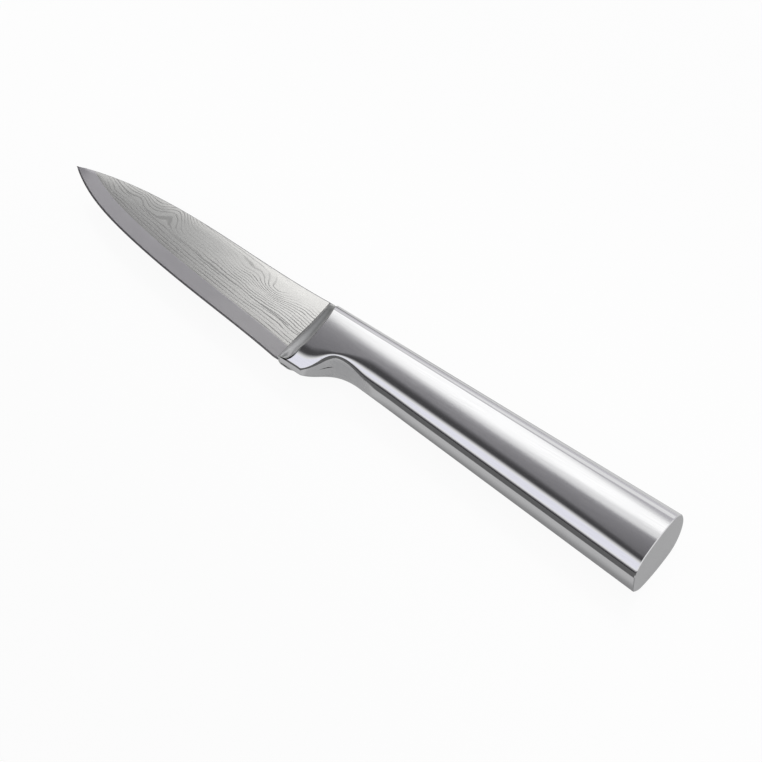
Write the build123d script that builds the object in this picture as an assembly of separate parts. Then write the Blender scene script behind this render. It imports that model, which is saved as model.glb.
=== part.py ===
from build123d import *
from math import hypot
import os

os.makedirs("parts", exist_ok=True)

# A paring knife that lies on its right side. While it is made, x = 0 is the front of the bolster collar,
# y = 0 the spine line of the handle and z = 0 the mid-plane between the two handle shells.
# +X runs to the butt, +Y to the spine and +Z to the left side, which faces up.
# Depths are measured from the spine line towards the cutting edge or the belly.

# Blade outline, measured from the heel towards the tip
blade_length = 90.0
heel_rise = 0.3                 # the spine stands this far above the handle's spine line at the heel
crest_x = 50.0
crest_rise = 1.0
spine_bend_x = 73.0
spine_bend_depth = 0.6
tip_depth = 4.7
heel_depth = 22.9
edge_flat_x = 30.0
edge_flat_depth = 19.45
edge_belly_x = 60.5
edge_belly_depth = 15.2
edge_turn_x = 79.5
edge_turn_depth = 10.1

# Blade section
spine_thickness = 1.8
heel_wedge = 0.3                # thickness lost between the spine and the top of the bevel at the heel
distal_taper = 0.9              # thickness lost between heel and tip
bevel_width = 4.7
bevel_foot_thickness = 0.3
micro_bevel_width = 0.5
edge_thickness = 0.08

# Tang
tang_length = 20.0
tang_height = 9.0
tang_depth = 4.5                # its upper side lies this deep
tang_thickness = 1.6
tang_fit = 0.1

# Handle outline
handle_length = 114.9           # from the collar to the lower corner of the butt
butt_slant = 0.96               # the upper corner of the butt lies this much further forward
guard_depth = 22.5
guard_length = 9.0
guard_corner_x = 10.2
guard_corner_rise = 0.9
notch_wall_x = 12.4
notch_wall_share = 0.58         # how far the wall has risen from the guard to the shoulder of the notch
notch_shoulder_x = 14.5
notch_shoulder_depth = 15.95
notch_crest_x = 18.6
notch_crest_depth = 14.9
belly_x = 30.0                  # the straight belly starts here
belly_depth = 16.1
butt_depth = 22.5

# Handle section at the collar and at the butt: crown of the spine cap, corner, side, and low end
section_drop = 1.5              # the sections reach this far below the guard and the butt
front_top_rise = 0.25
front_crown_depth = 0.3
front_crown_half = 2.55
front_corner_depth = 2.4
front_corner_half = 3.5
front_side_depth = 10.5
front_side_half = 4.75
front_low_half = 3.6
butt_crown_depth = 1.3
butt_crown_half = 4.6
butt_corner_depth = 5.8
butt_corner_half = 7.4
butt_side_depth = 13.0
butt_side_half = 7.55
butt_low_half = 4.66

# Lower facet of each side: its trace on the mid-plane, and how far it leans back for each unit of half width
facet_lean_share = 1.3
facet_guard_x = 7.5
facet_guard_drop = 2.2          # drops are measured down from the guard, the notch or the belly above them
facet_turn_x = 11.3
facet_turn_share = 0.25         # how far it has risen there from the guard's level to the crest's
facet_wall_x = 13.3
facet_wall_share = 0.55
facet_crest_drop = 5.45
facet_belly_drop = 4.3
facet_butt_drop = 5.1

# Bolster collar
neck_half = 1.0                 # half thickness where the collar meets the blade
flare_slope_share = 0.6         # half thickness gained for each unit of length
collar_top_length = 3.2
collar_waist_length = 6.1
collar_waist_depth = 10.5
collar_nub_length = 6.4
collar_nub_rise = 3.6           # above the underside of the guard
collar_turn_length = 4.9
collar_turn_rise = 1.2
collar_foot_length = 1.9        # its border reaches the underside of the guard here
collar_step = 1.0               # the nub of the collar stands this far below the facet of the shells
spigot_length = 13.0
spigot_fit = 0.1

# Handle shells and butt cap
wall = 1.0
cap_thickness = 2.0
cap_bevel = 0.35
lip_length = 3.0
lip_fit = 0.1
overrun = 1.0                   # how far a cutting form runs past what it cuts


def lean_back(face, run, height):
    """Solid on a face of the mid-plane whose sides move up by run over the given height."""
    direction = Vector(0, run, height)
    return extrude(face, amount=direction.length, dir=direction)


def both_sides(half):
    """A form that stands on the mid-plane, with its mirror image below."""
    return half + mirror(half, about=Plane.XY)


def slab(x_low, x_high):
    """Block across the whole knife between two places along X."""
    width = 2 * (guard_depth + section_drop)
    middle = Vector((x_low + x_high) / 2, 0, 0)
    return Pos(middle) * Box(x_high - x_low, width * 2, width)


def blade_spine():
    """Spine of the blade from the heel to the tip."""
    heel = (0, heel_rise)
    crest = (-crest_x, crest_rise)
    bend = (-spine_bend_x, -spine_bend_depth)
    tip = (-blade_length, -tip_depth)
    return Spline(heel, crest, bend, tip)


def blade_edge():
    """Cutting edge from the tip to the heel."""
    tip = (-blade_length, -tip_depth)
    turn = (-edge_turn_x, -edge_turn_depth)
    belly = (-edge_belly_x, -edge_belly_depth)
    flat = (-edge_flat_x, -edge_flat_depth)
    heel = (0, -heel_depth)
    return Spline(tip, turn, belly, flat, heel)


def blade_profile():
    """Side view of the blade without its tang."""
    heel_line = Line((0, -heel_depth), (0, heel_rise))
    return make_face([blade_spine(), blade_edge(), heel_line])


def tang_bar(grow):
    """Flat bar behind the heel; grow widens it to the slot that it fits."""
    length = tang_length + 2 * grow
    size = (length, tang_height + 2 * grow, tang_thickness + 2 * grow)
    middle = (length / 2 - grow, -tang_depth - tang_height / 2, 0)
    return Pos(*middle) * Box(*size)


def blade_body():
    """Both sides of the blade: tapering flats, a bevel band and a fine edge bevel."""
    profile = blade_profile()
    spine_half = spine_thickness / 2
    edge_half = edge_thickness / 2
    foot_half = bevel_foot_thickness / 2
    band_rise = spine_half - heel_wedge / 2 - foot_half
    foot = extrude(profile, amount=edge_half, dir=(0, 0, 1))
    micro = Pos(0, 0, edge_half) * lean_back(profile, micro_bevel_width, foot_half - edge_half)
    raised = Pos(0, micro_bevel_width, foot_half) * profile
    band = lean_back(raised, bevel_width * spine_half / band_rise, spine_half)
    half = (foot + micro + band) & extrude(profile, amount=spine_thickness, dir=(0, 0, 1))
    tilt = Vector(-distal_taper / 2 / blade_length, -heel_wedge / 2 / (heel_depth - bevel_width), 1)
    flat = Plane(origin=(0, 0, spine_half), z_dir=tilt)
    return both_sides(split(half, bisect_by=flat, keep=Keep.BOTTOM))


def make_blade():
    return blade_body() + tang_bar(0)


def handle_section(x, top, crown, corner, side, low, inset):
    """Closed section of the handle: a spine cap, tangent shoulders, and bowed sides below the corners.

    Inside the hollow, where the section is inset, the shoulders are flat.
    """
    chord = hypot(corner[1], corner[0] + top)
    crown_depth = crown[0] + inset * corner[1] / chord
    crown_half = crown[1] - inset * (corner[0] + top) / chord

    def point(depth, half, side_sign):
        return (x, -depth, half * side_sign)

    def side_points(sign):
        return [
            point(crown_depth, crown_half, sign),
            point(corner[0], corner[1] - inset, sign),
            point(side[0], side[1] - inset, sign),
            point(low[0], low[1] - inset, sign),
        ]

    left = side_points(1)
    right = side_points(-1)
    cap = ThreePointArc(right[0], (x, top - inset, 0), left[0])
    if inset:
        left_shoulder = Line(left[0], left[1])
        right_shoulder = Line(right[0], right[1])
    else:
        left_shoulder = TangentArc(left[0], left[1], tangent=cap % 1)
        right_shoulder = TangentArc(right[0], right[1], tangent=-(cap % 0))
    left_side = ThreePointArc(*left[1:])
    right_side = ThreePointArc(*right[1:])
    bottom = Line(left[3], right[3])
    return make_face([cap, left_shoulder, left_side, bottom, right_side, right_shoulder])


def handle_bar(inset):
    """Tapering bar from the collar to past the butt."""
    front = handle_section(
        0,
        front_top_rise,
        (front_crown_depth, front_crown_half),
        (front_corner_depth, front_corner_half),
        (front_side_depth, front_side_half),
        (guard_depth + section_drop, front_low_half),
        inset,
    )
    butt = handle_section(
        handle_length + overrun,
        0,
        (butt_crown_depth, butt_crown_half),
        (butt_corner_depth, butt_corner_half),
        (butt_side_depth, butt_side_half),
        (butt_depth + section_drop, butt_low_half),
        inset,
    )
    return loft([front, butt], ruled=True)


def moved_in(points, inset):
    """Points of an outline that runs along +X, each moved towards the spine, square to its neighbours."""
    moved = []
    for index, (x, y) in enumerate(points):
        before = points[max(index - 1, 0)]
        after = points[min(index + 1, len(points) - 1)]
        run = Vector(after[0] - before[0], after[1] - before[1]).normalized()
        moved.append((x - run.Y * inset, y + run.X * inset))
    return moved


def underside(points, inset, top):
    """Face between a height above the spine and an outline: a line, a smooth curve, and a line to the butt."""
    outline = moved_in(points, inset)
    front = Line(outline[0], outline[1])
    middle = Spline(*outline[1:-1])
    back = Line(outline[-2], outline[-1])
    frame = Polyline(outline[0], (outline[0][0], top), (outline[-1][0], top), outline[-1])
    return make_face([front, middle, back, *frame.edges()])


def line_end(depth_at_belly, depth_at_butt):
    """Point past the butt on the straight line through the start of the belly and the butt."""
    slope = (depth_at_butt - depth_at_belly) / (handle_length - belly_x)
    end = handle_length + 2 * overrun
    return (end, -depth_at_butt - slope * (end - handle_length))


def belly_points():
    """Underside of the handle: guard, finger notch and straight belly."""
    wall_rise = notch_wall_share * (guard_depth - notch_shoulder_depth)
    return [
        (-overrun, -guard_depth),
        (guard_length, -guard_depth),
        (guard_corner_x, guard_corner_rise - guard_depth),
        (notch_wall_x, wall_rise - guard_depth),
        (notch_shoulder_x, -notch_shoulder_depth),
        (notch_crest_x, -notch_crest_depth),
        (belly_x, -belly_depth),
        line_end(belly_depth, butt_depth),
    ]


def facet_points(drop):
    """Line in which the two lower facets would meet on the mid-plane, or one that lies lower by drop."""
    guard_level = guard_depth + facet_guard_drop + drop
    crest_level = notch_crest_depth + facet_crest_drop + drop
    turn_level = guard_level + facet_turn_share * (crest_level - guard_level)
    wall_level = guard_level + facet_wall_share * (crest_level - guard_level)
    belly_level = belly_depth + facet_belly_drop + drop
    butt_level = butt_depth + facet_butt_drop + drop
    return [
        (-overrun, -guard_level),
        (facet_guard_x, -guard_level),
        (facet_turn_x, -turn_level),
        (facet_wall_x, -wall_level),
        (notch_crest_x, -crest_level),
        (belly_x, -belly_level),
        line_end(belly_level, butt_level),
    ]


def handle_form(inset, facet_drop=0):
    """Whole handle, or the space inside it that keeps a distance from its outside."""
    top = 2 * overrun
    reach = 2 * butt_side_half
    belly = underside(belly_points(), inset, top)
    facet = underside(facet_points(facet_drop), inset * hypot(1, facet_lean_share), top)
    belly_cut = extrude(belly, amount=reach, dir=(0, 0, 1))
    facet_cut = lean_back(facet, facet_lean_share * reach, reach)
    return handle_bar(inset) & both_sides(belly_cut & facet_cut)


def collar_block():
    """Block with the side view of the collar: its border with the shells bows towards the butt."""
    border = Spline(
        (collar_top_length, 0),
        (collar_waist_length, -collar_waist_depth),
        (collar_nub_length, collar_nub_rise - guard_depth),
        (collar_turn_length, collar_turn_rise - guard_depth),
        (collar_foot_length, -guard_depth),
    )
    frame = Polyline(
        (collar_foot_length, -guard_depth),
        (-overrun, -guard_depth),
        (-overrun, 2 * overrun),
        (collar_top_length, 2 * overrun),
        (collar_top_length, 0),
    )
    side_view = make_face([border, *frame.edges()])
    return extrude(side_view, amount=2 * butt_side_half, both=True)


def butt_plane(forward):
    """Slanted plane of the butt, or one parallel to it that lies further forward."""
    along = Vector(-butt_slant, butt_depth, 0)
    origin = (handle_length - forward, -butt_depth, 0)
    return Plane(origin=origin, x_dir=(0, 0, 1), z_dir=(along.Y, -along.X, 0))


def flare_cut(form):
    """The form between the two faces that flare from the blade to the sides of the handle."""
    for side in (1, -1):
        plane = Plane(origin=(0, 0, side * neck_half), z_dir=(-flare_slope_share, 0, side))
        form = split(form, bisect_by=plane, keep=Keep.BOTTOM)
    return form


def make_collar():
    """Flared collar with a slotted spigot that fills the front of the hollow handle."""
    body = flare_cut(handle_form(0, collar_step)) & collar_block()
    spigot = flare_cut(handle_form(wall + spigot_fit)) & slab(collar_top_length / 2, spigot_length)
    return body + spigot - tang_bar(tang_fit)


def make_shells(outside):
    """Left and right shell: a hollow half each, open at the collar and at the butt."""
    tube = flare_cut(outside) - collar_block()
    tube = split(tube, bisect_by=butt_plane(cap_thickness), keep=Keep.BOTTOM)
    tube = tube - handle_form(wall)
    left = split(tube, bisect_by=Plane.XY, keep=Keep.TOP)
    right = split(tube, bisect_by=Plane.XY, keep=Keep.BOTTOM)
    return left, right


def make_cap(outside):
    """Flat plate across the butt with a bevelled rim and a step that sits inside the shells."""
    behind = split(outside, bisect_by=butt_plane(cap_thickness), keep=Keep.TOP)
    plate = split(behind, bisect_by=butt_plane(0), keep=Keep.BOTTOM)
    face = plate.faces().sort_by(Axis.X)[-1]
    plate = chamfer(face.edges(), length=cap_bevel)
    lip = handle_form(wall + lip_fit)
    lip = split(lip, bisect_by=butt_plane(cap_thickness + lip_length), keep=Keep.TOP)
    lip = split(lip, bisect_by=butt_plane(cap_thickness), keep=Keep.BOTTOM)
    return plate + lip


def make_parts():
    outside = handle_form(0)
    left, right = make_shells(outside)
    return {
        "blade": make_blade(),
        "bolster_collar": make_collar(),
        "handle_shell_left": left,
        "handle_shell_right": right,
        "butt_cap": make_cap(outside),
    }


# The origin of the finished part is the middle of the underside of its bounding box.
parts = make_parts()
box = Compound(list(parts.values())).bounding_box()
origin = Vector(box.center().X, box.center().Y, box.min.Z)
for name, shape in parts.items():
    moved = Pos(-origin) * shape
    export_step(moved, f"parts/{name}.step")
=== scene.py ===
import bmesh
import bpy
import numpy as np
from mathutils import Matrix, Vector


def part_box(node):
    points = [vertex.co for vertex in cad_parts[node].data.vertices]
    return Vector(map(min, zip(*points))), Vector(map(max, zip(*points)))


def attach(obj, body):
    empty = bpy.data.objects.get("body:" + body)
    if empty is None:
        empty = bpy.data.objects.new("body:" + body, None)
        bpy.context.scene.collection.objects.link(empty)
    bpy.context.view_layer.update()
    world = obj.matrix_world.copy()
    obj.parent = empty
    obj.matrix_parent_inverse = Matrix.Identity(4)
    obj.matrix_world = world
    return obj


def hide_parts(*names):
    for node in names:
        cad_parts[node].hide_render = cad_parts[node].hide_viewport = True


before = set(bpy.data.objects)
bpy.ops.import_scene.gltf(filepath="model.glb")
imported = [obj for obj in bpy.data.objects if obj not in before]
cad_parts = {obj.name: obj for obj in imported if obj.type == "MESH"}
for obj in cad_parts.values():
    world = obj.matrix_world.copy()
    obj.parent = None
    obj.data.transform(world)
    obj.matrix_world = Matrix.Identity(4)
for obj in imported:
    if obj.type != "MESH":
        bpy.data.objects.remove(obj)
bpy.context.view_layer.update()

# The knife is worked out in millimetres in its own place: x = 0 at the front of the collar, y = 0 on the
# spine line of the handle, z = 0 on the mid-plane. The tip lies at -x, the butt at +x, the edge at -y.
millimetre = 0.001

blade = {
    "length": 90.0,
    "spine": [(0.0, 0.3), (-50.0, 1.0), (-73.0, -0.6), (-90.0, -4.7)],
    "edge": [(-90.0, -4.7), (-79.5, -10.1), (-60.5, -15.2), (-30.0, -19.45), (0.0, -22.9)],
    "spineHalf": 0.9,
    "lengthTaper": 0.005,             # half thickness lost for each unit towards the tip
    "depthTaper": 0.00824,            # and for each unit towards the edge
    "flatCrown": 0.08,                # the flats are a little convex
    "bandWidth": 4.7,                 # plain ground band along the edge, with the micro-bevel
    "bandTipShare": 0.72,             # the most of the blade's height that the band takes near the tip
    "footHalf": 0.15,                 # the foot of the band is where the cutting bevel starts
    "footWidth": 0.5,
    "edgeHalf": 0.04,
    "spineRound": 0.22,
    "fullHeight": 15.0,               # below this height of the blade its flats are less convex
    "leastFlat": 0.1,
    "footRise": 0.15,                 # half thickness gained at most for each unit above the foot
    "footSpare": 0.02,
    "footShare": 0.25,                # the most of the height that the foot takes near the tip
    "roundShare": 0.2,                # and the spine's rounding
    "rows": 420,
    "rowCrowding": 1.6,
    "roundColumns": 7,
    "flatColumns": 26,
    "flatShares": (0.02, 0.985),      # first and last of them, and one more close to the band
    "lastFlat": 0.995,
    "bandColumns": 14,
    "bandShares": (0.04, 0.96),
    "bevelColumns": 7,
    "sharpAngle": 20.0,
    "heelRun": 1.6,                   # the leaf runs on this far into the collar
    "tangLength": 20.0,
    "tangTop": -4.5,
    "tangBottom": -13.5,
    "tangHalf": 0.8,
}

handle = {
    "length": 114.89,
    "overrun": 1.0,                   # the bar is worked out this far past the butt
    "buttSlant": 0.96,                # the butt leans forward by this over its depth
    "buttDepth": 22.5,
    "wall": 1.0,
    "topRise": (0.05, 0.0),           # each pair of the section: at the collar, at the butt
    "crownDepth": (0.5, 1.3),
    "crownHalf": (2.55, 4.6),
    "cornerDepth": (3.75, 5.8),
    "cornerHalf": (5.4, 7.4),
    "sideDepth": (10.5, 13.0),
    "sideHalf": (5.1, 7.525),
    "lowDepth": (24.0, 24.0),
    "lowHalf": (3.5, 4.66),
    "lean": 1.2,                      # the lower facets rise by this for each unit outwards
    "belly": [(-1.0, -22.5), (9.0, -22.5), (10.2, -21.6), (12.4, -18.704), (14.5, -15.95), (18.6, -14.9),
              (24.0, -15.58), (30.0, -16.06), (42.0, -17.005)],
    "facet": [(-1.0, -24.2), (7.5, -24.2), (11.3, -23.1), (13.3, -21.8), (18.6, -19.93), (30.0, -19.97),
              (42.0, -20.985)],
    "facetButtDepth": 27.1,
    "ridgeRound": 6.0,                # rounding between side and lower facet
    "ridgeShare": 0.55,               # the most of the facet that it takes
    "guardRound": 2.0,                # added to it over the guard, which is soft
    "guardSpan": (3.0, 9.0, 5.0),     # x where that starts and ends, and its soft length on either side
    "keelRound": 3.2,                 # rounding between lower facet and belly
    "keelShare": 0.42,                # the most of the facet that it takes, and of the belly
    "bellyShare": 0.6,
    "guardKeel": 0.3,                 # share of it over the guard
    "keelSpan": (15.0, 5.0),          # x from which it is whole, and its soft length before that
    "conicWeight": 0.92,              # roundings are conics of this weight; a larger one is sharper
    "rows": 240,
    "rowCrowding": 1.35,
}

collar = {
    "border": [(3.3, 0.2), (5.0, -3.5), (6.0, -7.7), (6.46, -12.4), (6.55, -15.7), (6.2, -18.0),
               (5.85, -19.9), (5.35, -21.4), (4.5, -22.2), (1.9, -22.5)],
    # where it leaves the blade
    "front": [(1.4, -22.5), (1.15, -18.3), (0.93, -14.0), (0.8, -8.0), (0.1, 0.3)],
    "neckHalf": 1.0,
    "flareShares": (0.0, 0.15, 0.22, 0.68, 0.8, 1.0),    # share of the way from the blade to the border
    "flareRises": (0.0, 0.215, 0.29, 0.60, 0.71, 1.0),    # share of the widening reached there
    "hiddenShare": 2.0,               # past the border the material's share is this
    "step": 1.0,                      # its facets lie this much lower than the shells'
    "spigotLength": 13.0,
    "spigotInset": 1.1,
    "rows": 90,
    "spigotRows": 30,
}

cap = {
    "thickness": 2.0,
    "bevel": 0.2,
    "lipLength": 3.0,
    "lipInset": 1.1,
    "rows": 10,
}

columns = {"crown": 14, "shoulder": 16, "side": 46, "ridge": 15, "facet": 14, "keel": 15, "belly": 14}
columnCount = sum(columns.values())

# How finely lines and stations are worked out, and where the search for a row starts, in x.
search = {
    "curvePoints": 900,
    "borderPoints": 500,
    "flarePoints": 300,
    "crestPoints": 4000,
    "bladePoints": 3000,
    "stations": 1600,
    "halvings": 40,
    "rowRounds": 14,
    "arcStep": 0.01,
    "tangentStep": 0.002,
    "front": 0.5,
    "border": 4.0,
    "butt": 112.0,
}


# A smooth cubic through the points over their chord length. Its slope at each end is that of the cubic
# through the four points nearest to that end, or at the last point the one given.
def curveThrough(points, count, lastSlope=None):
    knots = np.array(points, float)
    at = np.concatenate([[0.0], np.cumsum(np.hypot(*np.diff(knots, axis=0).T))])
    near = min(4, len(knots))

    def slopeOf(some, place):
        return [np.polyval(np.polyder(np.polyfit(at[some], knots[some, k], near - 1)), place) for k in (0, 1)]

    firstSlope = slopeOf(slice(None, near), 0.0)
    if lastSlope is None:
        lastSlope = slopeOf(slice(-near, None), at[-1])
    steps = np.diff(at)
    slopes = np.diff(knots, axis=0) / steps[:, None]
    size = len(knots)
    matrix = np.eye(size)
    right = np.zeros((size, 2))
    right[0], right[-1] = firstSlope, lastSlope
    for row in range(1, size - 1):
        matrix[row, row - 1:row + 2] = steps[row], 2 * (steps[row - 1] + steps[row]), steps[row - 1]
        right[row] = 3 * (slopes[row - 1] * steps[row] + slopes[row] * steps[row - 1])
    tangents = np.linalg.solve(matrix, right)
    t = np.linspace(0, at[-1], count)
    index = np.clip(np.searchsorted(at, t, side="right") - 1, 0, size - 2)
    h = steps[index][:, None]
    u = ((t - at[index]) / steps[index])[:, None]
    return (knots[index] * (1 + 2 * u) * (1 - u) ** 2 + tangents[index] * h * u * (1 - u) ** 2
            + knots[index + 1] * u ** 2 * (3 - 2 * u) + tangents[index + 1] * h * u ** 2 * (u - 1))


# Side view of an underside: straight, the smooth curve, then straight to the butt and a little past it.
def underLine(points, buttDepth):
    lastX, lastY = points[-1]
    slope = (buttDepth + lastY) / (handle["length"] - lastX)
    farX = handle["length"] + 2 * handle["overrun"]
    far = (farX, lastY - slope * (farX - lastX))
    onward = np.array([1.0, -slope]) / np.hypot(1.0, slope)
    line = np.vstack([points[0], curveThrough(points[1:], search["curvePoints"], onward), far])
    return lambda x: np.interp(x, line[:, 0], line[:, 1])


bellyAt = underLine(handle["belly"], handle["buttDepth"])
facetAt = underLine(handle["facet"], handle["facetButtDepth"])
barLength = handle["length"] + handle["overrun"]


# Points (height, half width) on the circle through three points, at shares of its angle.
def arcThrough(first, middle, last, share):
    (ax, ay), (bx, by), (cx, cy) = first, middle, last
    d = 2 * (ax * (by - cy) + bx * (cy - ay) + cx * (ay - by))
    a, b, c = ax ** 2 + ay ** 2, bx ** 2 + by ** 2, cx ** 2 + cy ** 2
    ux = (a * (by - cy) + b * (cy - ay) + c * (ay - by)) / d
    uy = (a * (cx - bx) + b * (ax - cx) + c * (bx - ax)) / d
    radius = np.hypot(ax - ux, ay - uy)
    start = np.arctan2(ay - uy, ax - ux)
    end = np.arctan2(cy - uy, cx - ux)
    angle = start + (end - start) * share
    return np.stack([ux + radius * np.cos(angle), uy + radius * np.sin(angle)], axis=-1)


# Corners of one end section, (height, half width) each; inside the hollow they lie in by the inset.
def endCorners(end, inset):
    top, crownDepth, crownHalf, cornerDepth, cornerHalf, sideDepth, sideHalf, lowDepth, lowHalf = (
        handle[name][end] for name in ("topRise", "crownDepth", "crownHalf", "cornerDepth", "cornerHalf",
                                       "sideDepth", "sideHalf", "lowDepth", "lowHalf"))
    chord = np.hypot(cornerHalf, cornerDepth + top)
    crown = (-crownDepth - inset * cornerHalf / chord, crownHalf - inset * (cornerDepth + top) / chord)
    return {"top": (top - inset, 0.0), "crown": crown, "corner": (-cornerDepth, cornerHalf - inset),
            "side": (-sideDepth, sideHalf - inset), "low": (-lowDepth, lowHalf - inset)}


# Crown: the circle through the top and the crown points. Shoulder: the circle that leaves the crown on its
# tangent and reaches the corner, so it turns by twice the angle between that tangent and the chord. Inside
# the hollow it is straight.
def endCap(end, inset):
    corner = endCorners(end, inset)
    mirrored = (corner["crown"][0], -corner["crown"][1])
    share = np.linspace(0.5, 1, columns["crown"], endpoint=False)
    crown = arcThrough(mirrored, corner["top"], corner["crown"], share)
    share = np.linspace(0, 1, columns["shoulder"], endpoint=False)
    chord = np.array(corner["corner"]) - np.array(corner["crown"])
    if inset > handle["wall"] / 2:
        return np.concatenate([crown, np.array(corner["crown"]) + chord * share[:, None]])
    rise = corner["top"][0] - corner["crown"][0]
    half = corner["crown"][1]
    startTurn = np.arcsin(half / ((half ** 2 + rise ** 2) / (2 * rise)))
    chordTurn = np.arctan2(-chord[0], chord[1])
    bend = chordTurn - startTurn
    radius = np.hypot(*chord) / (2 * np.sin(bend))
    turn = startTurn + 2 * bend * share
    shoulder = np.stack([corner["crown"][0] - radius * (np.cos(startTurn) - np.cos(turn)),
                         corner["crown"][1] + radius * (np.sin(turn) - np.sin(startTurn))], axis=-1)
    return np.concatenate([crown, shoulder])


# Point of the bowed side of the tapering bar: straight from the collar's arc to the butt's, at equal shares.
def sidePoint(x, share, inset):
    ends = []
    for end in (0, 1):
        corner = endCorners(end, inset)
        ends.append(arcThrough(corner["corner"], corner["side"], corner["low"], share))
    t = (x / barLength)[..., None]
    return ends[0] * (1 - t) + ends[1] * t


# 1 from low to high, falling smoothly to 0 over the soft length outside.
def softSpan(x, low, high, soft):
    both = np.clip(np.minimum((x - low) / soft + 1, (high - x) / soft + 1), 0, 1)
    return both * both * (3 - 2 * both)


# Ridges of the lower part at many stations: where the side meets the leaning facet, where the facet meets
# the belly, and how far each rounding reaches, which is its radius times the tangent of half the turn.
def ridgeTable(drop, inset):
    stations = search["stations"]
    x = np.linspace(-handle["overrun"], barLength + handle["overrun"], stations)
    lean = handle["lean"]
    facet = facetAt(x) - drop + inset * np.hypot(1, lean)
    belly = bellyAt(x) + inset
    low, high = np.zeros(stations), np.ones(stations)
    for _ in range(search["halvings"]):
        middle = (low + high) / 2
        point = sidePoint(x, middle, inset)
        above = point[:, 0] > facet + lean * point[:, 1]
        low, high = np.where(above, middle, low), np.where(above, high, middle)
    share = (low + high) / 2
    ridge = sidePoint(x, share, inset)
    before = ridge - sidePoint(x, share - search["arcStep"], inset)
    arcRate = np.linalg.norm(before, axis=-1) / search["arcStep"]
    before /= np.linalg.norm(before, axis=-1, keepdims=True)
    run = np.array([-lean, -1.0]) / np.hypot(1, lean)
    keel = np.stack([belly, (belly - facet) / lean], axis=-1)
    length = np.linalg.norm(keel - ridge, axis=-1)
    turn = np.arccos(np.clip(before @ run, -1, 1))
    radius = handle["ridgeRound"] + handle["guardRound"] * softSpan(x, *handle["guardSpan"])
    ridgeTrim = np.minimum(radius * np.tan(turn / 2), length * handle["ridgeShare"])
    stop = share - ridgeTrim / arcRate
    ridgeStart = sidePoint(x, stop, inset)
    tangent = ridgeStart - sidePoint(x, stop - search["tangentStep"], inset)
    tangent /= np.linalg.norm(tangent, axis=-1, keepdims=True)
    reach = ((ridge - ridgeStart) @ [run[1], -run[0]]) / (tangent @ [run[1], -run[0]])
    wholeFrom, soft = handle["keelSpan"]
    whole = softSpan(x, wholeFrom, 2 * barLength, soft)
    keelTrim = handle["keelRound"] * np.tan(np.arcsin(lean / np.hypot(1, lean)) / 2)
    keelTrim = keelTrim * (handle["guardKeel"] + (1 - handle["guardKeel"]) * whole)
    facetTrim = np.minimum(keelTrim, length * handle["keelShare"])
    bellyTrim = np.minimum(keelTrim, keel[:, 1] * handle["bellyShare"])
    return {
        "x": x,
        "stop": stop,
        "ridgeStart": ridgeStart,
        "ridge": ridgeStart + tangent * reach[:, None],
        "ridgeEnd": ridge + run * ridgeTrim[:, None],
        "keelStart": keel - run * facetTrim[:, None],
        "keel": keel,
        "keelEnd": keel - np.array([0.0, 1.0]) * bellyTrim[:, None],
        "belly": np.stack([belly, 0 * belly], axis=-1),
    }


borderLine = curveThrough(collar["border"], search["borderPoints"])
borderLine = borderLine[np.argsort(borderLine[:, 1])]


# x of the border between the collar and the shells at a height.
def borderX(y):
    return np.interp(y, borderLine[:, 1], borderLine[:, 0])


frontLine = np.array(collar["front"])


# x at which the collar leaves the blade, at a height.
def frontX(y):
    return np.interp(y, frontLine[:, 1], frontLine[:, 0])


# Share of the way from there to the border.
def flareShare(x, y):
    front = frontX(y)
    return (x - front) / (borderX(y) - front)


flareLine = curveThrough(list(zip(collar["flareShares"], collar["flareRises"])), search["flarePoints"])


# Widening of the flare at a share of its way, through its points as a smooth curve; whole past the border.
def flareRise(share):
    return np.interp(share, flareLine[:, 0], flareLine[:, 1])


# Half outline of the handle, one column after another, each at its own x: crown and shoulder from the bar,
# bowed side, rounded ridge, lower facet, rounded keel, belly. Each rounding is a conic on its two sides.
def handleSurface(x, drop=0.0, inset=0.0):
    table = ridgeTable(drop, inset)
    position = 0

    def take(name):
        nonlocal position
        part = x[:, position:position + columns[name]]
        position += columns[name]
        return part

    def at(name, place):
        column = table[name]
        if column.ndim == 1:
            return np.interp(place, table["x"], column)
        return np.stack([np.interp(place, table["x"], column[:, k]) for k in (0, 1)], axis=-1)

    def conic(start, middle, end, place, u):
        weight = handle["conicWeight"]
        bottom = (1 - u) ** 2 + 2 * weight * u * (1 - u) + u ** 2
        return (at(start, place) * (1 - u) ** 2 + at(middle, place) * 2 * weight * u * (1 - u)
                + at(end, place) * u ** 2) / bottom

    capX = np.concatenate([take("crown"), take("shoulder")], axis=1)
    t = (capX / barLength)[..., None]
    pieces = [endCap(0, inset) * (1 - t) + endCap(1, inset) * t]
    sideX = take("side")
    share = np.linspace(0, 1, columns["side"], endpoint=False) * at("stop", sideX)
    pieces.append(sidePoint(sideX, share, inset))
    ridgeX = take("ridge")
    u = np.linspace(0, 1, columns["ridge"])[:, None]
    pieces.append(conic("ridgeStart", "ridge", "ridgeEnd", ridgeX, u))
    facetX = take("facet")
    u = np.linspace(0, 1, columns["facet"] + 2)[1:-1, None]
    pieces.append(at("ridgeEnd", facetX) * (1 - u) + at("keelStart", facetX) * u)
    keelX = take("keel")
    u = np.linspace(0, 1, columns["keel"])[:, None]
    pieces.append(conic("keelStart", "keel", "keelEnd", keelX, u))
    bellyX = take("belly")
    u = np.linspace(0, 1, columns["belly"] + 1)[1:, None]
    pieces.append(at("keelEnd", bellyX) * (1 - u) + at("belly", bellyX) * u)
    outline = np.concatenate(pieces, axis=1)
    half = outline[..., 1]
    inner = np.minimum(half, collar["neckHalf"])
    half = inner + (half - inner) * flareRise(flareShare(x, outline[..., 0]))
    return np.stack([x, outline[..., 0], half], axis=-1)


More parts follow.
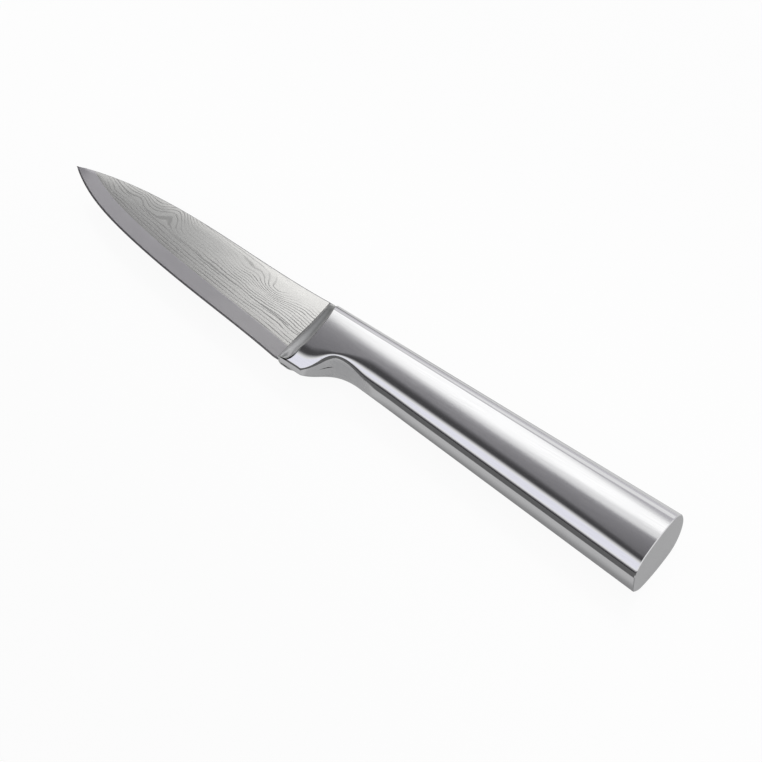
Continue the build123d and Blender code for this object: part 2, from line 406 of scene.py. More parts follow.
# x of the slanted butt plane at a height, or of a parallel plane that lies further forward.
def buttX(y, forward=0.0):
    return handle["length"] - forward - handle["buttSlant"] / handle["buttDepth"] * (y + handle["buttDepth"])


# One row of the surface on a border or plane: each column's x moves there for the height that it has.
def rowOn(placeOf, startX, drop=0.0, inset=0.0):
    x = np.full((1, columnCount), float(startX))
    for _ in range(search["rowRounds"]):
        x = placeOf(handleSurface(x, drop, inset)[..., 1])
    return x


# Rows between two such rows, closer together near the first.
def rowsBetween(first, last, rows, crowding=1.0):
    u = np.linspace(0, 1, rows)[:, None] ** crowding
    return first + (last - first) * u


# From the frame's place to the knife's own: the CAD blade's box gives the tip, the crest and the mid-plane.
def knifeShift():
    tipX = blade["spine"][-1][0]
    crest = curveThrough(blade["spine"], search["crestPoints"])[:, 1].max()
    low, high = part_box("blade")
    middle = (low[2] + high[2]) / 2
    return np.array([tipX - low[0] / millimetre, crest - high[1] / millimetre, -middle / millimetre])


shift = knifeShift()
print("knife placed in the frame, shift", np.round(shift, 4))


# The knife's own millimetres to the frame's metres.
def toFrame(points):
    return (np.asarray(points, float) - shift) * millimetre


# Quads between neighbouring rows of a grid of vertices, round the loop where it wraps.
def gridFaces(rows, across, wrap):
    r, c = np.meshgrid(np.arange(rows - 1), np.arange(across if wrap else across - 1), indexing="ij")
    r, c = r.ravel(), c.ravel()
    d = (c + 1) % across
    return np.stack([r * across + c, r * across + d, (r + 1) * across + d, (r + 1) * across + c], axis=1)


mergeDistance = 2e-7    # metres
thinDistance = 1e-7


# A closed mesh from a looped grid of points: doubles merge, so collapsed ends close; steep edges stay sharp.
def addPiece(name, grid, material, node, attributes=None, sharpAngle=35.0):
    rows, across = grid.shape[:2]
    mesh = bpy.data.meshes.new(name)
    mesh.from_pydata(toFrame(grid.reshape(-1, 3)).tolist(), [], gridFaces(rows, across, True).tolist())
    for title, values in (attributes or {}).items():
        layer = mesh.attributes.new(title, "FLOAT", "POINT")
        layer.data.foreach_set("value", np.ascontiguousarray(values, dtype=np.float32).ravel())
    body = bmesh.new()
    body.from_mesh(mesh)
    bmesh.ops.remove_doubles(body, verts=body.verts, dist=mergeDistance)
    bmesh.ops.dissolve_degenerate(body, dist=thinDistance, edges=body.edges)
    bmesh.ops.recalc_face_normals(body, faces=body.faces)
    body.to_mesh(mesh)
    body.free()
    mesh.polygons.foreach_set("use_smooth", np.ones(len(mesh.polygons), bool))
    mesh.set_sharp_from_angle(angle=np.radians(sharpAngle))
    mesh.materials.append(material)
    piece = bpy.data.objects.new(name, mesh)
    bpy.context.scene.collection.objects.link(piece)
    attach(piece, "root")
    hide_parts(node)
    return piece


# Left half columns and then the right half's back to the start, as one loop round the handle.
def wholeLoop(half):
    right = half[:, -2:0:-1] * np.array([1, 1, -1])
    return np.concatenate([half, right], axis=1)


# A shader value. The operators on it add Math nodes, also with a plain number on the left.
class Value:
    def __init__(self, tree, socket):
        self.tree, self.socket = tree, socket

    def math(self, operation, *others):
        values = dict(enumerate((self, *others)))
        return self.tree.node("ShaderNodeMath", {"operation": operation}, values)[0]

    def __add__(self, other):
        return self.math("ADD", other)

    def __sub__(self, other):
        return self.math("SUBTRACT", other)

    def __rsub__(self, other):
        return self.tree.node("ShaderNodeMath", {"operation": "SUBTRACT"}, {0: other, 1: self})[0]

    def __mul__(self, other):
        return self.math("MULTIPLY", other)

    def __truediv__(self, other):
        return self.math("DIVIDE", other)

    __radd__ = __add__
    __rmul__ = __mul__

    # 0 below low, 1 above high, smooth between; low may lie above high.
    def rise(self, low, high):
        settings = {"interpolation_type": "SMOOTHSTEP"}
        names = {"Value": self, "From Min": low, "From Max": high, "To Min": 0.0, "To Max": 1.0}
        if low > high:
            names.update({"From Min": high, "From Max": low, "To Min": 1.0, "To Max": 0.0})
        return self.tree.node("ShaderNodeMapRange", settings, names)[0]


# A node tree and its one way to add a node: type, settings, then the value or link of each socket.
class Tree:
    def __init__(self, owner):
        self.tree = owner.node_tree
        self.tree.nodes.clear()

    def node(self, kind, settings=None, values=None):
        made = self.tree.nodes.new(kind)
        for name, value in (settings or {}).items():
            setattr(made, name, value)
        for name, value in (values or {}).items():
            if isinstance(value, Value):
                self.tree.links.new(value.socket, made.inputs[name])
            else:
                made.inputs[name].default_value = value
        return [Value(self, output) for output in made.outputs]

    # Perlin noise of the point multiplied axis by axis, centred on 0.5.
    def noise(self, point, scale, detail=2.0, roughness=0.5):
        spread = self.node("ShaderNodeVectorMath", {"operation": "MULTIPLY"}, {0: point, 1: scale})[0]
        return self.node("ShaderNodeTexNoise", None, {
            "Vector": spread, "Scale": 1.0, "Detail": detail, "Roughness": roughness})[0]

    def mixColour(self, factor, first, second):
        return self.node("ShaderNodeMix", {"data_type": "RGBA"}, {0: factor, 6: first, 7: second})[2]

    def bump(self, height, strength, distance):
        return self.node("ShaderNodeBump", None, {
            "Height": height, "Strength": strength, "Distance": distance})[0]

    def mixShader(self, factor, first, second):
        return self.node("ShaderNodeMixShader", None, {0: factor, 1: first, 2: second})[0]

    def emission(self, colour):
        return self.node("ShaderNodeEmission", None, {"Color": colour})[0]

    def attribute(self, name):
        return self.node("ShaderNodeAttribute", {"attribute_name": name})[2]

    def axes(self, point):
        return self.node("ShaderNodeSeparateXYZ", None, {0: point})

    def objectPoint(self):
        return self.node("ShaderNodeTexCoord")[3]

    # Object coordinates as the knife's own millimetres: times 1000, then the shift.
    def knifePoint(self):
        place = self.objectPoint()
        return self.node("ShaderNodeVectorMath", {"operation": "MULTIPLY_ADD"}, {
            0: place, 1: (1 / millimetre,) * 3, 2: tuple(shift)})[0]

    def output(self, shader, kind="ShaderNodeOutputMaterial"):
        self.node(kind, None, {"Surface": shader})


# An empty material and its node tree.
def newMaterial(name):
    material = bpy.data.materials.new(name)
    material.use_nodes = True
    return material, Tree(material)


# Bare metal of a colour, roughness and normal.
def steelSurface(tree, colour, roughness, normal):
    tree.output(tree.node("ShaderNodeBsdfPrincipled", None, {
        "Metallic": 1.0, "Base Color": colour, "Roughness": roughness, "Normal": normal})[0])


white = (1.0, 1.0, 1.0, 1.0)

brushed = {
    "dark": (0.66, 0.66, 0.67, 1.0),
    "light": (0.74, 0.74, 0.75, 1.0),
    "toneSpan": (0.25, 0.75),
    "roughness": 0.12,
    "fineRough": 0.05,                # what the fine noise and the cloud add to it at most
    "cloudRough": 0.03,
    "notchRoughness": 0.22,           # added on the belly in the finger notch, which lies between these x,
    "notchStart": (12.0, 16.0),
    "notchEnd": (30.0, 22.0),
    "notchTop": (-11.0, -12.5),       # below this y
    "notchHalf": (3.6, 2.4),          # and within this of the mid-plane
    "streakScale": (0.035, 2.6, 2.6),   # for each millimetre
    "fineScale": (0.12, 9.0, 9.0),
    "cloudScale": (0.05, 0.12, 0.12),
    "grain": 0.05,
    "grainDepth": 0.00002,
}


# Steel brushed along the handle: tone and height are noise drawn out along x, coarse and fine. Roughness is a
# value with a little of the noise on it, and more on the belly of the notch.
def makeBrushedSteel(name):
    material, tree = newMaterial(name)
    point = tree.knifePoint()
    streak = tree.noise(point, brushed["streakScale"], 3.0, 0.6)
    fine = tree.noise(point, brushed["fineScale"], 2.0, 0.5)
    cloud = tree.noise(point, brushed["cloudScale"], 2.0, 0.5)
    tone = (streak * 0.5 + fine * 0.25 + cloud * 0.25).rise(*brushed["toneSpan"])
    colour = tree.mixColour(tone, brushed["dark"], brushed["light"])
    rough = (fine - 0.5) * brushed["fineRough"] + (cloud - 0.5) * brushed["cloudRough"]
    x, y, z = tree.axes(point)
    notch = x.rise(*brushed["notchStart"]) * x.rise(*brushed["notchEnd"])
    notch = notch * y.rise(*brushed["notchTop"]) * z.math("ABSOLUTE").rise(*brushed["notchHalf"])
    rough = rough + brushed["roughness"] + notch * brushed["notchRoughness"]
    normal = tree.bump(streak * 0.5 + fine * 0.5, brushed["grain"], brushed["grainDepth"])
    steelSurface(tree, colour, rough, normal)
    return material


satin = {
    "dark": (0.50, 0.52, 0.50, 1.0),
    "light": (0.68, 0.69, 0.67, 1.0),
    "toneSpan": (0.3, 0.7),
    # painted shade: the collar's upper part takes this darker tone, fading out below and at the very top
    "upper": (0.36, 0.37, 0.36, 1.0),
    "upperStart": (-11.0, -21.0),     # y between which that gives way to the plain tone below,
    "upperEnd": (-4.5, -1.0),         # and above, by a share
    "upperShare": 0.7,
    # painted highlight: the very top of the collar is lighter
    "top": (0.95, 0.95, 0.94, 1.0),
    "highlightStart": (-1.6, -0.5),
    "highlightShare": 0.7,
    # painted shade in the creases where the collar meets the blade and steps down to the shells
    "seamShade": (0.05, 0.05, 0.05, 1.0),  # where the collar meets the blade and steps down to the shells:
    "frontSeam": (0.20, 0.10),        # shares of the flare between which each seam starts, and how dark it is
    "frontShare": 0.85,
    "frontFade": 0.8,                 # lost of it at the bottom
    "rearSeam": (0.88, 0.97),
    "rearShare": 0.5,
    "stepSeam": (1.02, 1.3),
    "roughness": 0.30,
    "grainRough": 0.12,
    "grainScale": (4.0, 4.0, 4.0),
    "cloudScale": (0.2, 0.2, 0.2),
    "grain": 0.2,
    "grainDepth": 0.00002,
}


# Satin steel of the collar: even fine grain under a faint cloud, with painted shade in its upper part, a
# painted highlight at the very top, and painted shade along both seams, which follow the share of the flare.
def makeSatinSteel(name):
    material, tree = newMaterial(name)
    point = tree.knifePoint()
    grain = tree.noise(point, satin["grainScale"], 2.0, 0.5)
    cloud = tree.noise(point, satin["cloudScale"], 2.0, 0.5)
    tone = (grain * 0.5 + cloud * 0.5).rise(*satin["toneSpan"])
    colour = tree.mixColour(tone, satin["dark"], satin["light"])
    share = tree.attribute("flareShare")
    _, y, _ = tree.axes(point)
    # painted shade over the collar's upper part
    low = y.rise(*satin["upperStart"])
    plain = low.math("MAXIMUM", y.rise(*satin["upperEnd"]) * satin["upperShare"])
    colour = tree.mixColour(plain, satin["upper"], colour)
    # painted highlight at the very top of the collar
    top = y.rise(*satin["highlightStart"]) * satin["highlightShare"]
    colour = tree.mixColour(top, colour, satin["top"])
    # painted shade along both seams, fading towards the bottom
    front = share.rise(*satin["frontSeam"]) * (1 - low * satin["frontFade"])
    rear = share.rise(*satin["rearSeam"]) * (1 - low)
    seamShade = front * satin["frontShare"] + rear * satin["rearShare"]
    seamShade = seamShade.math("MAXIMUM", share.rise(*satin["stepSeam"]))
    colour = tree.mixColour(seamShade, colour, satin["seamShade"])
    rough = (grain - 0.5) * satin["grainRough"] + satin["roughness"]
    steelSurface(tree, colour, rough, tree.bump(grain, satin["grain"], satin["grainDepth"]))
    return material


waves = {
    # painted light: the ground turns from a shaded tone at the tip to a lit tone at the heel
    "ground": (0.80, 0.795, 0.775, 1.0),
    "groundTipShaded": (0.42, 0.42, 0.415, 1.0),
    "groundSpan": (-54.0, -2.0),      # x between which the second gives way to the first, nearly whole
    "groundShare": 0.95,
    # painted highlights: the ground turns to its light tone under the spine and at the tip
    "spineHighlight": 0.40,                # how far the ground turns to its light tone under the spine,
    "spineReach": (3.2, 0.3),         # within this depth, and from this x on
    "spineStart": (-88.0, -70.0),
    "tipHighlight": 0.20,                  # and how far at the tip
    "tipStart": (-66.0, -84.0),
    "cloudTone": (0.3, 0.3, 0.3, 1.0),
    "cloudShare": 0.16,
    "cloudSpan": (0.2, 0.8),
    "line": (0.42, 0.42, 0.41, 1.0),
    "linesStart": (-82.0, -76.0),     # x
    # painted shade: the spine's rounding is darker
    "spine": (0.36, 0.36, 0.36, 1.0),
    "spineShadeLine": (0.42, 0.22),        # depth of the dark line along the spine, and the x where it starts
    "spineLineStart": (-52.0, -40.0),
    "band": (0.66, 0.65, 0.67, 1.0),
    # painted light: the band also turns lighter towards the heel
    "bandHeelLit": (0.80, 0.79, 0.80, 1.0),
    "bandSpan": (-45.0, -5.0),        # x between which the first gives way to the second
    "bandEdge": (-0.1, 0.25),
    "bevelEdge": (0.1, -0.1),
    "grainRough": 0.1,
    "grainDepth": 0.00003,
    "grainHeight": 0.4,               # of the grain against that of a line
    "relief": 0.25,
    "roughness": 0.26,
    "lineRoughness": 0.40,
    "bandRoughness": 0.44,
    "bevelRoughness": 0.22,
    "spacing": 0.95,                  # millimetres between the lines
    "lineShare": 0.20,                # half width of a line as a share of the spacing
    "phase": 0.35,
    "boldDepth": 9.4,                 # distance from the edge of the one strong line
    "boldHalf": 0.24,
    "boldSpan": (0.25, 0.5),
    "lineCore": 0.3,                  # share of a line's half width that is whole
    "drift": 3.2,                     # height of the two noises that bend the lines
    "driftScale": (0.035, 0.10, 0.0),
    "ripple": 0.9,
    "rippleScale": (0.20, 0.45, 0.0),
    "weightScale": (0.07, 0.5, 0.0),
    "boldScale": (0.12, 0.1, 0.0),
    "grainScale": (5.0, 5.0, 5.0),
    "cloudScale": (0.09, 0.2, 0.2),
    "calm": 0.8,                      # share of them lost just above the band
    "calmReach": (5.0, 0.5),
    "faintest": 0.25,                 # weight of the faintest lines
    "weightSpan": (0.3, 0.62),
    "bareAt": (-39.0, -3.6),          # faint lines round here, and how far
    "bareReach": (12.0, 4.2),
    "bareSpan": (1.6, 0.6),
    "bareShare": 0.75,
    "heelStart": (-34.0, -8.0),       # x and y from which there are none under the spine at the heel
    "heelDepth": (-6.0, -3.0),
    "whorls": [(-54.5, 0.4, 5.0, 5.5, -4.6), (-66.5, -2.0, 3.6, 3.0, -1.6), (-14.5, -5.2, 6.0, 3.4, 4.0),
               (-27.0, -4.5, 5.0, 2.6, 1.8), (-75.0, -5.5, 3.5, 1.8, 1.0)],
}


# Layered steel: lines are levels of a height field, which is the distance from the edge, bent by drawn-out
# noise and by round hills and hollows (x, y, reach along, reach across, height), less so near the band. One
# line is stronger. A plain band follows the edge, and the ground stays plain towards the tip and under the
# spine at the heel. Painted shade darkens the spine's rounding, painted highlights lighten the ground under
# the spine and at the tip, and painted light turns ground and band lighter towards the heel.
def makeWavySteel(name):
    material, tree = newMaterial(name)
    point = tree.knifePoint()
    x, y, _ = tree.axes(point)
    edgeDistance = tree.attribute("edgeDistance")
    spineDistance = tree.attribute("spineDistance")
    drift = (tree.noise(point, waves["driftScale"]) - 0.5) * waves["drift"]
    ripple = (tree.noise(point, waves["rippleScale"]) - 0.5) * waves["ripple"]
    overEdge = edgeDistance - blade["bandWidth"]
    calm = overEdge.rise(*waves["calmReach"])
    field = edgeDistance + (drift + ripple) * (1 - calm * waves["calm"]) + waves["phase"]
    for atX, atY, reachX, reachY, height in waves["whorls"]:
        u = (x - atX) / reachX
        v = (y - atY) / reachY
        field = field + ((u * u + v * v) * -1.0).math("EXPONENT") * height
    away = (field / waves["spacing"]).math("FRACT") - 0.5
    core = waves["lineCore"]
    line = away.math("ABSOLUTE").rise(waves["lineShare"], waves["lineShare"] * core)
    weight = tree.noise(point, waves["weightScale"], 1.0).rise(*waves["weightSpan"])
    weight = weight * (1 - waves["faintest"]) + waves["faintest"]
    bold = (edgeDistance + drift * 0.35 + ripple * 0.5 - waves["boldDepth"]).math("ABSOLUTE")
    bold = bold.rise(waves["boldHalf"], waves["boldHalf"] * core)
    bold = bold * tree.noise(point, waves["boldScale"], 1.0).rise(*waves["boldSpan"])
    atU = (x - waves["bareAt"][0]) / waves["bareReach"][0]
    atV = (y - waves["bareAt"][1]) / waves["bareReach"][1]
    bare = (atU * atU + atV * atV).rise(*waves["bareSpan"])
    line = (line * weight * (1 - bare * waves["bareShare"])).math("MAXIMUM", bold)
    overBand = overEdge.rise(*waves["bandEdge"])
    heelBare = x.rise(*waves["heelStart"]) * y.rise(*waves["heelDepth"])
    line = line * overBand * x.rise(*waves["linesStart"]) * (1 - heelBare)
    grain = tree.noise(point, waves["grainScale"])
    cloud = tree.noise(point, waves["cloudScale"])
    # painted highlights under the spine and at the tip
    paintedHighlight = spineDistance.rise(*waves["spineReach"]) * x.rise(*waves["spineStart"])
    paintedHighlight = paintedHighlight * waves["spineHighlight"] + x.rise(*waves["tipStart"]) * waves["tipHighlight"]
    # painted light along the blade: darker at the tip, lighter at the heel
    share = x.rise(*waves["groundSpan"]) * waves["groundShare"] + paintedHighlight
    ground = tree.mixColour(share, waves["groundTipShaded"], waves["ground"])
    # painted light: the band is lighter at the heel
    band = tree.mixColour(x.rise(*waves["bandSpan"]), waves["band"], waves["bandHeelLit"])
    ground = tree.mixColour(overBand, band, ground)
    colour = tree.mixColour(line, ground, waves["line"])
    clouded = (grain * 0.5 + cloud * 0.5).rise(*waves["cloudSpan"]) * waves["cloudShare"]
    colour = tree.mixColour(clouded, colour, waves["cloudTone"])
    # painted shade along the spine's rounding
    spineShade = spineDistance.rise(*waves["spineShadeLine"]) * x.rise(*waves["spineLineStart"])
    colour = tree.mixColour(spineShade, colour, waves["spine"])
    rough = line * (waves["lineRoughness"] - waves["roughness"]) + waves["roughness"]
    rough = rough + (1 - overBand) * (waves["bandRoughness"] - waves["roughness"])
    onBevel = (edgeDistance - blade["footWidth"]).rise(*waves["bevelEdge"])
    rough = rough + onBevel * (waves["bevelRoughness"] - waves["bandRoughness"])
    rough = rough + (grain - 0.5) * waves["grainRough"]
    height = grain * waves["grainHeight"] - line
    steelSurface(tree, colour, rough, tree.bump(height, waves["relief"], waves["grainDepth"]))
    return material


handleSteel = makeBrushedSteel("brushedHandleSteel")
capSteel = makeBrushedSteel("brushedCapSteel")
collarSteel = makeSatinSteel("satinCollarSteel")
bladeSteel = makeWavySteel("wavyBladeSteel")
print("steels made")


# Half of the handle as a hollow shell: the outer columns, then the inner ones back, as one loop.
def makeShells():
    skins = []
    for inset in (0.0, handle["wall"]):
        first = rowOn(borderX, search["border"], 0.0, inset)
        last = rowOn(lambda y: buttX(y, cap["thickness"]), search["butt"], 0.0, inset)
        x = rowsBetween(first, last, handle["rows"], handle["rowCrowding"])
        skins.append(handleSurface(x, 0.0, inset))
    outer, inner = skins
    loop = np.concatenate([outer, inner[:, ::-1]], axis=1)
    for name, side in (("handle_shell_left", 1), ("handle_shell_right", -1)):
        half = loop * np.array([1, 1, side])
        # the rims: at each end both skins' columns come together on the outer outline
        start, end = (np.concatenate([rim[:, :columnCount], rim[:, :columnCount][:, ::-1]], axis=1)
                      for rim in (half[:1], half[-1:]))
        addPiece(name + "_skin", np.concatenate([start, half, end]), handleSteel, name)
    print("shells made")


# Collar: its flared outside from the blade to the border, the step down to the spigot, and the spigot.
def makeCollar():
    border = rowOn(borderX, search["border"], collar["step"])
    front = rowOn(frontX, search["front"], collar["step"])
    outside = handleSurface(rowsBetween(front, border, collar["rows"]), collar["step"])
    inset = collar["spigotInset"]
    stepX = rowOn(borderX, search["border"], 0.0, inset)
    spigotX = rowsBetween(stepX, 0 * stepX + collar["spigotLength"], collar["spigotRows"])
    spigot = handleSurface(spigotX, 0.0, inset)
    middle = np.array([1, 1, 0])
    grid = np.concatenate([outside[:1] * middle, outside, spigot, spigot[-1:] * middle])
    share = np.full(grid.shape[:2], collar["hiddenShare"])
    visible = slice(1, 1 + len(outside))
    share[visible] = np.minimum(flareShare(grid[visible, :, 0], grid[visible, :, 1]), 1.0)
    share = np.concatenate([share, share[:, -2:0:-1]], axis=1)
    addPiece("collar_flare", wholeLoop(grid), collarSteel, "bolster_collar",
             {"flareShare": share})
    print("collar made")


# Cap: lip inside the shells, plate, bevelled rim, and the flat end that closes on the mid-plane.
def makeCap():
    def row(forward, inset):
        x = rowOn(lambda y: buttX(y, forward), search["butt"], 0.0, inset)
        return handleSurface(x, 0.0, inset)

    middle = np.array([1, 1, 0])
    depth = cap["thickness"]
    lipStart = row(depth + cap["lipLength"], cap["lipInset"])
    shares = np.linspace(0, 1, cap["rows"])
    rim = np.concatenate([row(depth + (cap["bevel"] - depth) * share, 0.0) for share in shares])
    end = row(0.0, cap["bevel"])
    rows = [lipStart * middle, lipStart, row(depth, cap["lipInset"]), rim, end, end * middle]
    addPiece("cap_plate", wholeLoop(np.concatenate(rows)), capSteel, "butt_cap")
    print("cap made")


# Blade: at each x a half section from the spine's rounding over the tapering flat, down the hollow of the
# band and the fine edge bevel; at the heel it steps in to the tang.
def makeBlade():
    spine = curveThrough(blade["spine"], search["bladePoints"])[::-1]
    edge = curveThrough(blade["edge"], search["bladePoints"])
    u = np.linspace(0, 1, blade["rows"]) ** blade["rowCrowding"]
    x = -blade["length"] + (blade["length"] + blade["heelRun"]) * u
    top = np.interp(x, spine[:, 0], spine[:, 1])
    low = np.interp(x, edge[:, 0], edge[:, 1])
    height = np.maximum(top - low, 0)
    band = np.minimum(blade["bandWidth"], blade["bandTipShare"] * height)
    foot = np.minimum(blade["footWidth"], blade["footShare"] * height)

    def flatHalf(y):
        across = np.clip((y - low - band) / np.maximum(height - band, blade["leastFlat"]), 0, 1)
        crown = blade["flatCrown"] * 4 * across * (1 - across) * np.minimum(height / blade["fullHeight"], 1)
        half = blade["spineHalf"] + blade["lengthTaper"] * x + blade["depthTaper"] * y + crown
        return np.minimum(half, blade["footHalf"] + (y - low - foot) * blade["footRise"] + blade["footSpare"])

    rounding = np.minimum(blade["spineRound"], blade["roundShare"] * height)
    sections = [(top, 0 * top), (top, np.maximum(flatHalf(top) - rounding, 0))]
    for a in np.linspace(0, np.pi / 2, blade["roundColumns"])[1:]:
        y = top - rounding * (1 - np.cos(a))
        sections.append((y, np.maximum(flatHalf(y) - rounding * (1 - np.sin(a)), 0)))
    shoulderY = top - rounding
    for share in np.append(np.linspace(*blade["flatShares"], blade["flatColumns"]), blade["lastFlat"]):
        y = shoulderY + (low + band - shoulderY) * share
        sections.append((y, flatHalf(y)))
    junction = flatHalf(low + band)
    footHalf = np.minimum(blade["footHalf"], junction)
    for share in np.concatenate([[0.0], np.linspace(*blade["bandShares"], blade["bandColumns"]), [1.0]]):
        y = low + band + (foot - band) * share
        sections.append((y, junction + (footHalf - junction) * share))
    for share in np.linspace(0, 1, blade["bevelColumns"])[1:]:
        y = low + foot * (1 - share)
        sections.append((y, footHalf + (blade["edgeHalf"] - footHalf) * share))
    sections.append((low, 0 * low))
    y = np.stack([section[0] for section in sections], axis=1)
    half = np.stack([section[1] for section in sections], axis=1)
    half[0] = 0
    grid = np.stack([np.repeat(x[:, None], y.shape[1], axis=1), y, half], axis=-1)
    tang = grid[-1:].copy()
    tang[..., 1] = np.clip(tang[..., 1], blade["tangBottom"], blade["tangTop"])
    tang[..., 2] = np.minimum(tang[..., 2], blade["tangHalf"])
    tangEnd = tang + np.array([blade["tangLength"] - blade["heelRun"], 0, 0])
    grid = wholeLoop(np.concatenate([grid, tang, tangEnd, tangEnd * np.array([1, 1, 0])]))
    distance = grid[..., 1] - np.interp(grid[..., 0], edge[:, 0], edge[:, 1])
    fromSpine = np.interp(grid[..., 0], spine[:, 0], spine[:, 1]) - grid[..., 1]
    addPiece("blade_leaf", grid, bladeSteel, "blade",
             {"edgeDistance": distance, "spineDistance": fromSpine}, blade["sharpAngle"])
    print("blade made")


makeShells()
makeCollar()
makeCap()
makeBlade()

camera = {
    "lens": 100.48,
    "azimuth": -0.715,                # radians round the knife, over it, and about the line of sight
    "elevation": 0.892,
    "roll": 0.036,
    "distance": 552.244,
    "target": (27.395, -11.65, 0.0),
    "clip": (0.01, 20.0),             # metres
}


# The camera looks at the target from its distance along the back axis; roll turns the image's axes.
def makeCamera():
    a, e, roll = camera["azimuth"], camera["elevation"], camera["roll"]
    right = np.array([np.cos(a), -np.sin(a), 0.0])
    away = np.array([np.sin(a), np.cos(a), 0.0])
    up = away * np.sin(e) + np.array([0, 0, np.cos(e)])
    back = np.array([0, 0, np.sin(e)]) - away * np.cos(e)
    imageRight = right * np.cos(roll) - up * np.sin(roll)
    imageUp = right * np.sin(roll) + up * np.cos(roll)
    data = bpy.data.cameras.new("camera")
    data.lens = camera["lens"]
    data.clip_start, data.clip_end = camera["clip"]
    taker = bpy.data.objects.new("camera", data)
    bpy.context.scene.collection.objects.link(taker)
    turn = Matrix(np.stack([imageRight, imageUp, back], axis=1).tolist()).to_4x4()
    place = np.array(camera["target"]) + back * camera["distance"]
    taker.matrix_world = Matrix.Translation(Vector(toFrame(place))) @ turn
    bpy.context.scene.camera = taker
    print("camera made")


makeCamera()

studio = {
    "floorSize": 12.0,
    "floorTone": 0.95,
    "floorShadow": 0.05,              # share of the lit floor that the camera sees
    "floorMirror": 0.02,
    "mirrorRoughness": 0.25,
    "floorLitShare": 0.15,            # share of the lit floor that the steel sees
    # the rest of what the steel sees of it, painted shade of the floor: tones behind the knife, close behind
    # it, close in front, a little out and further out, and the distances in front of the belly between which
    # each gives way to the next
    "floorShadeTones": (0.78, 0.45, 0.28, 0.60, 0.05),
    "floorSteps": ((-0.040, -0.032), (-0.0025, -0.0005), (0.0030, 0.0050), (0.0064, 0.0080)),
    "bellyLine": (-0.00346, -0.079),  # y of the belly where x is 0, and its slope along x
    "guardLine": -0.01155,            # y of the belly under the guard
    "guardEnd": (0.003, 0.012),       # x between which the one gives way to the other
    # painted shade: the floor close in front of the belly is darker from this x, and the floor behind the
    # blade darker too
    "dipStart": (0.008, 0.022),       # x from which the floor close in front is darker
    "heelShade": 0.20,                 # tone of the floor behind the blade, x where it starts, and its depth
    "heelStart": (-0.025, -0.040),
    "heelDepth": (-0.002, -0.006),
    "roomLight": 0.75,
    # name: (angle from overhead towards -y, distance, x, length, width, radiance, colour)
    "lamps": {
        "keyBox": (-34.5, 1.2, -0.13, 1.72, 0.23, 0.42, (1.0, 1.0, 0.97)),
        "fillBox": (46.0, 1.2, -0.40, 2.4, 0.40, 0.13, (0.2, 0.22, 1.0)),
    },
    "reflectionTint": (1.0, 0.98, 1.03),   # colour of a card's grey
    # painted reflection cards, seen only by the steel; name: (angle, distance, turn about the upright,
    # corners, greys, slope of the gradient's edge, start, reach, and where it fades to white)
    "cards": {
        "overheadCard": (8.0, 1.0, 0.0,
                         [(-2.0, -0.62), (1.5, -0.62), (1.5, -0.31), (-0.56, 0.72), (-0.70, 0.735),
                          (-2.0, 0.76)],
                         (0.29, 0.075), -0.5, 0.44, 0.7, (-0.22, -0.60)),
        "lowCard": (89.0, 1.0, 0.0, [(-2.0, -0.424), (1.2, -0.424), (1.2, 0.424), (-2.0, 0.424)],
                    (0.5, 0.05), 0.0, 0.43, 0.3, None),
        "endCard": (90.0, 0.9, -90.0, [(-1.3, -0.1), (0.6, -0.1), (0.6, 0.45), (-1.3, 0.45)],
                    (0.9, 0.25), 0.0, 0.3, 0.3, None),
        "creaseCard": (-47.5, 1.0, 0.0,
                       [(-1.5, -0.08), (1.2, -0.08), (1.2, 0.08), (-0.31, 0.08), (-0.38, 0.15), (-0.44, 0.25),
                        (-1.5, 0.27)],
                       (0.62, 0.55), 0.0, 0.1, 0.2, None),
        "spineCard": (-85.0, 1.0, 0.0, [(-1.5, -0.18), (1.2, -0.18), (1.2, 0.18), (-1.5, 0.18)],
                      (0.76, 0.72), 0.0, 0.2, 0.4, None),
    },
}


# Place at an angle from overhead towards -y, and the turn of a lamp or card there that faces the knife.
def aroundKnife(angle, distance, x):
    a = np.radians(angle)
    back = np.array([0.0, -np.sin(a), np.cos(a)])
    along = np.array([1.0, 0.0, 0.0])
    turn = Matrix(np.stack([along, np.cross(back, along), back], axis=1).tolist()).to_4x4()
    return Matrix.Translation(Vector(back * distance + along * x)) @ turn


# A flat sheet with the given corners in its own plane, for the stage alone.
def makeSheet(name, corners, place, material):
    mesh = bpy.data.meshes.new(name)
    mesh.from_pydata([(x, y, 0) for x, y in corners], [], [tuple(range(len(corners)))])
    mesh.materials.append(material)
    sheet = bpy.data.objects.new(name, mesh)
    sheet.matrix_world = place
    bpy.context.scene.collection.objects.link(sheet)
    return sheet


# Soft boxes light the steel from above; the cards are grey emitting sheets that only the steel's reflections
# see, painted reflections that stand for dark cloths. A card runs from its edge grey to its inner grey across
# a slanted line, and may fade to white.
def makeStudio():
    for name, (angle, distance, x, length, width, radiance, colour) in studio["lamps"].items():
        data = bpy.data.lights.new(name, "AREA")
        data.shape = "RECTANGLE"
        data.size, data.size_y = length, width
        data.energy = radiance * np.pi * length * width
        data.color = colour
        lamp = bpy.data.objects.new(name, data)
        bpy.context.scene.collection.objects.link(lamp)
        lamp.matrix_world = aroundKnife(angle, distance, x)
        lamp.visible_camera = False
    for name, (angle, distance, turn, corners, greys, slope, start, reach, fade) in studio["cards"].items():
        material, tree = newMaterial(name + "Cloth")
        x, y, _ = tree.axes(tree.objectPoint())
        # painted reflection: a grey gradient that only the steel sees
        inside = (x * slope + start - y).rise(0.0, reach)
        edge, inner = (tree.emission(tuple(grey * tint for tint in studio["reflectionTint"]) + (1.0,))
                       for grey in greys)
        cardReflection = tree.mixShader(inside, edge, inner)
        if fade:
            cardReflection = tree.mixShader(y.rise(*fade), cardReflection, tree.emission(white))
        tree.output(cardReflection)
        place = Matrix.Rotation(np.radians(turn), 4, "Z") @ aroundKnife(angle, distance, 0.0)
        card = makeSheet(name, corners, place, material)
        card.visible_camera = card.visible_diffuse = card.visible_shadow = False
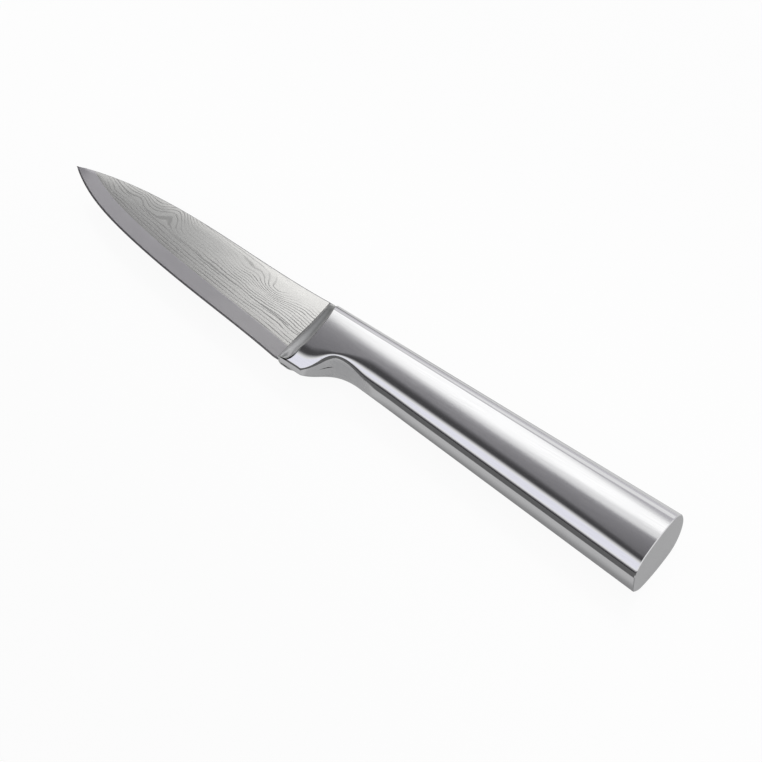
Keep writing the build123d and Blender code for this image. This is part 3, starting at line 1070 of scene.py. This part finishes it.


# Pale floor: to the camera nearly white, with a share of its lit surface, so the shadow stays, and a faint
# mirror; the steel sees a share of lit floor and painted shade tones, which change with the distance in front
# of the belly.
def makeFloor():
    material, tree = newMaterial("paleFloor")
    path = tree.node("ShaderNodeLightPath")
    tone = (studio["floorTone"],) * 3 + (1.0,)
    lit = tree.node("ShaderNodeBsdfDiffuse", None, {"Color": tone})[0]
    bright = tree.emission(white)
    mirror = tree.node("ShaderNodeBsdfGlossy", None, {"Roughness": studio["mirrorRoughness"]})[0]
    clear = tree.mixShader(studio["floorMirror"], bright, mirror)
    toCamera, glossy, through = path[0], path[3], path[6]
    steel = glossy.math("MAXIMUM", through) * (1 - toCamera)
    x, y, _ = tree.axes(tree.objectPoint())
    start, slope = studio["bellyLine"]
    guard = studio["guardLine"]
    out = (x * slope + (start - guard)) * x.rise(*studio["guardEnd"]) + guard - y
    # painted shade tones of the floor that only the steel sees
    farBehind, nearBehind, front, beyond, farOut = studio["floorShadeTones"]
    behind, close, little, further = (out.rise(low, high) for low, high in studio["floorSteps"])
    heel = x.rise(*studio["heelStart"]) * out.rise(*studio["heelDepth"])
    shadeDip = x.rise(*studio["dipStart"]) * (front - nearBehind)
    share = heel * (studio["heelShade"] - farBehind) + farBehind + behind * (nearBehind - farBehind)
    share = share + close * shadeDip + little * (beyond - nearBehind - shadeDip) + further * (farOut - beyond)
    black = tree.node("ShaderNodeEmission", None, {"Strength": 0.0})[0]
    paintedShadeFloor = tree.mixShader(studio["floorLitShare"], tree.mixShader(share, black, bright), lit)
    shown = tree.mixShader(toCamera * (1 - studio["floorShadow"]), lit, clear)
    tree.output(tree.mixShader(steel, shown, paintedShadeFloor))
    size = studio["floorSize"] / 2
    corners = [(-size, -size), (size, -size), (size, size), (-size, size)]
    makeSheet("floor", corners, Matrix.Identity(4), material)


# Plain room: white where the camera or the steel looks, moderate light elsewhere.
def makeRoom():
    world = bpy.data.worlds.new("room")
    bpy.context.scene.world = world
    world.use_nodes = True
    tree = Tree(world)
    path = tree.node("ShaderNodeLightPath")
    toCamera, glossy, through = path[0], path[3], path[6]
    seen = toCamera.math("MAXIMUM", glossy).math("MAXIMUM", through)
    light = seen * (1 - studio["roomLight"]) + studio["roomLight"]
    tree.output(tree.node("ShaderNodeBackground", None, {"Color": white, "Strength": light})[0],
                "ShaderNodeOutputWorld")


makeFloor()
makeRoom()
makeStudio()
print("studio made")

bpy.context.scene.view_settings.view_transform = "Standard"
